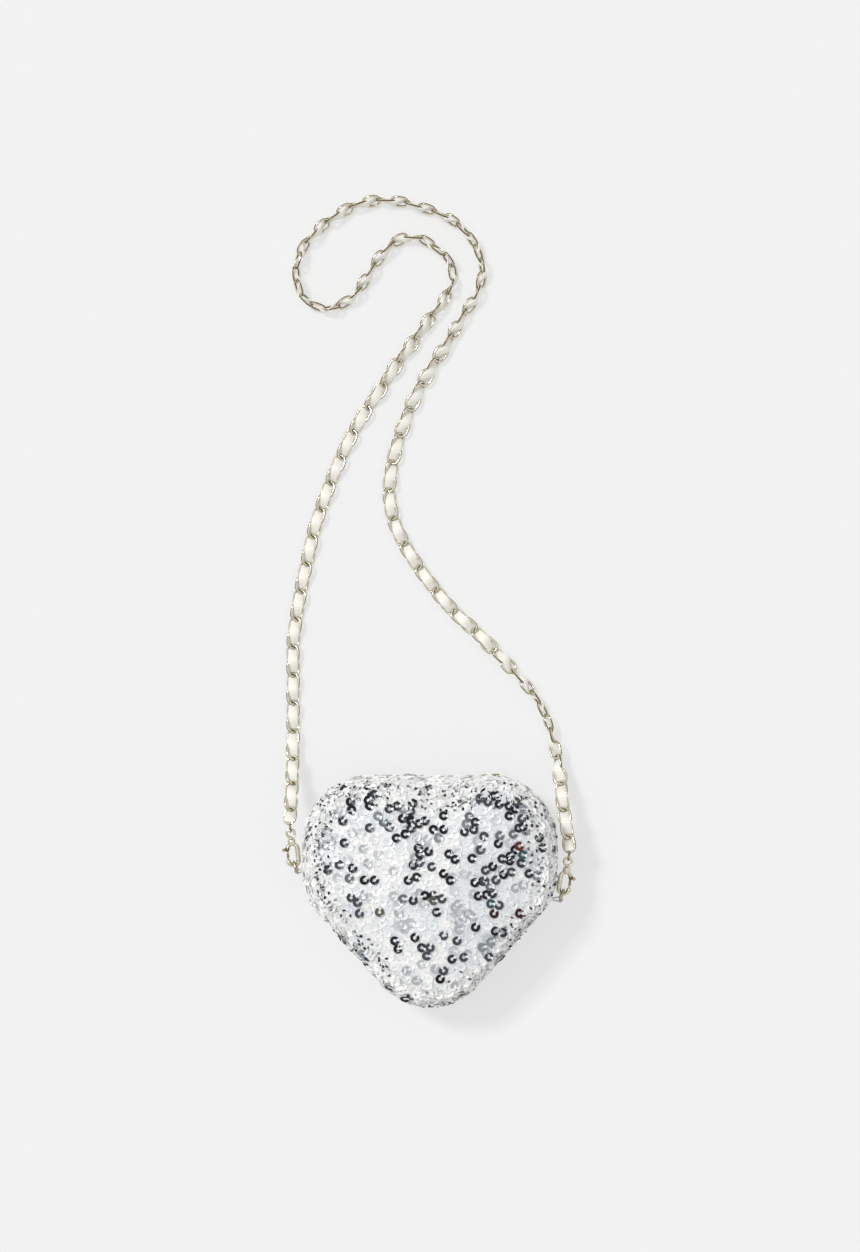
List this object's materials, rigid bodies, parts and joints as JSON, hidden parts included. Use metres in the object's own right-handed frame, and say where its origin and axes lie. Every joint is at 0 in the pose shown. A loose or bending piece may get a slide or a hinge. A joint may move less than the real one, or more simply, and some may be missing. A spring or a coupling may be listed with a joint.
{
  "type": "heart shaped purse",
  "caption": "Small heart shaped sequined purse with a zipped top, D-rings, two snap hooks and a long gold chain strap threaded with an ivory leather ribbon.",
  "frame": {"origin": "middle of the flat face that the purse lies on, halfway up the heart", "axes": "+X to the purse's right seen from the front, +Y from the heart's tip to its top, +Z out of the front panel"},
  "size_m": [0.1786, 0.4935, 0.056],
  "materials": {
    "sequin_cloth": "silver sequins sewn on white cloth",
    "foam": "soft foam sheet, hidden",
    "lining": "ivory satin",
    "zip_tape": "ivory woven tape",
    "zip_metal": "pale gold, polished",
    "loop_cloth": "silver grey folded tape",
    "gold": "pale gold plating, polished",
    "spring_steel": "bright spring steel, hidden",
    "chain_and_ribbon": "pale gold chain threaded with ivory leather"
  },
  "bodies": {
    "purse_back": {"back_panel": "sequin_cloth", "back_foam": "foam", "back_lining": "lining", "slip_pocket": "lining", "lower_gusset": "sequin_cloth", "gusset_lining": "lining", "top_gusset_back": "sequin_cloth", "mouth_lining_back": "lining", "zip_tape_back": "zip_tape", "zip_teeth_back": "zip_metal", "zip_bottom_stop": "zip_metal", "zip_top_stop_back": "zip_metal", "strap_loop_left": "loop_cloth", "strap_loop_right": "loop_cloth"},
    "purse_front": {"front_panel": "sequin_cloth", "front_foam": "foam", "front_lining": "lining", "top_gusset_front": "sequin_cloth", "mouth_lining_front": "lining", "zip_tape_front": "zip_tape", "zip_teeth_front": "zip_metal", "zip_top_stop_front": "zip_metal"},
    "slider": {"zip_slider": "zip_metal"},
    "pull": {"zip_pull": "zip_metal"},
    "strap": {"d_ring_left": "gold", "d_ring_right": "gold", "hook_left": "gold", "hook_right": "gold", "hook_swivel_left": "gold", "hook_swivel_right": "gold", "gate_pin_left": "gold", "gate_pin_right": "gold", "gate_spring_left": "spring_steel", "gate_spring_right": "spring_steel", "end_ring_left": "gold", "end_ring_right": "gold", "chain_strap": "chain_and_ribbon"},
    "gate_left": {"hook_gate_left": "gold"},
    "gate_right": {"hook_gate_right": "gold"}
  },
  "joints": [
    {"name": "mouth_open", "type": "hinge", "parent": "purse_back", "child": "purse_front", "pos_m": [0, -0.07, 0.049], "axis": [1, 0, 0], "range_deg": [0, 12]},
    {"name": "zip_slide", "type": "slide", "parent": "purse_back", "child": "slider", "axis": [-1, 0, 0], "range_m": [0, 0.079], "deforming": ["zip_teeth_back", "zip_teeth_front"]},
    {"name": "zip_pull_turn", "type": "hinge", "parent": "slider", "child": "pull", "pos_m": [0.0397, 0.06945, 0.027], "axis": [0, 0, -1], "range_deg": [0, 150]},
    {"name": "strap_swing", "type": "hinge", "parent": "purse_back", "child": "strap", "pos_m": [0, 0.00341, 0.027], "axis": [0.9944, -0.1061, 0], "range_deg": [0, 95], "deforming": ["strap_loop_left", "strap_loop_right"]},
    {"name": "gate_left_open", "type": "hinge", "parent": "strap", "child": "gate_left", "pos_m": [-0.08643, 0.02538, 0.027], "axis": [0, 0, 1], "range_deg": [0, 25], "stiffness_Nm_per_rad": 0.002, "springref_deg": -11.46},
    {"name": "gate_right_open", "type": "hinge", "parent": "strap", "child": "gate_right", "pos_m": [0.08518, 0.00816, 0.027], "axis": [0, 0, -1], "range_deg": [0, 25], "stiffness_Nm_per_rad": 0.002, "springref_deg": -11.46}
  ]
}
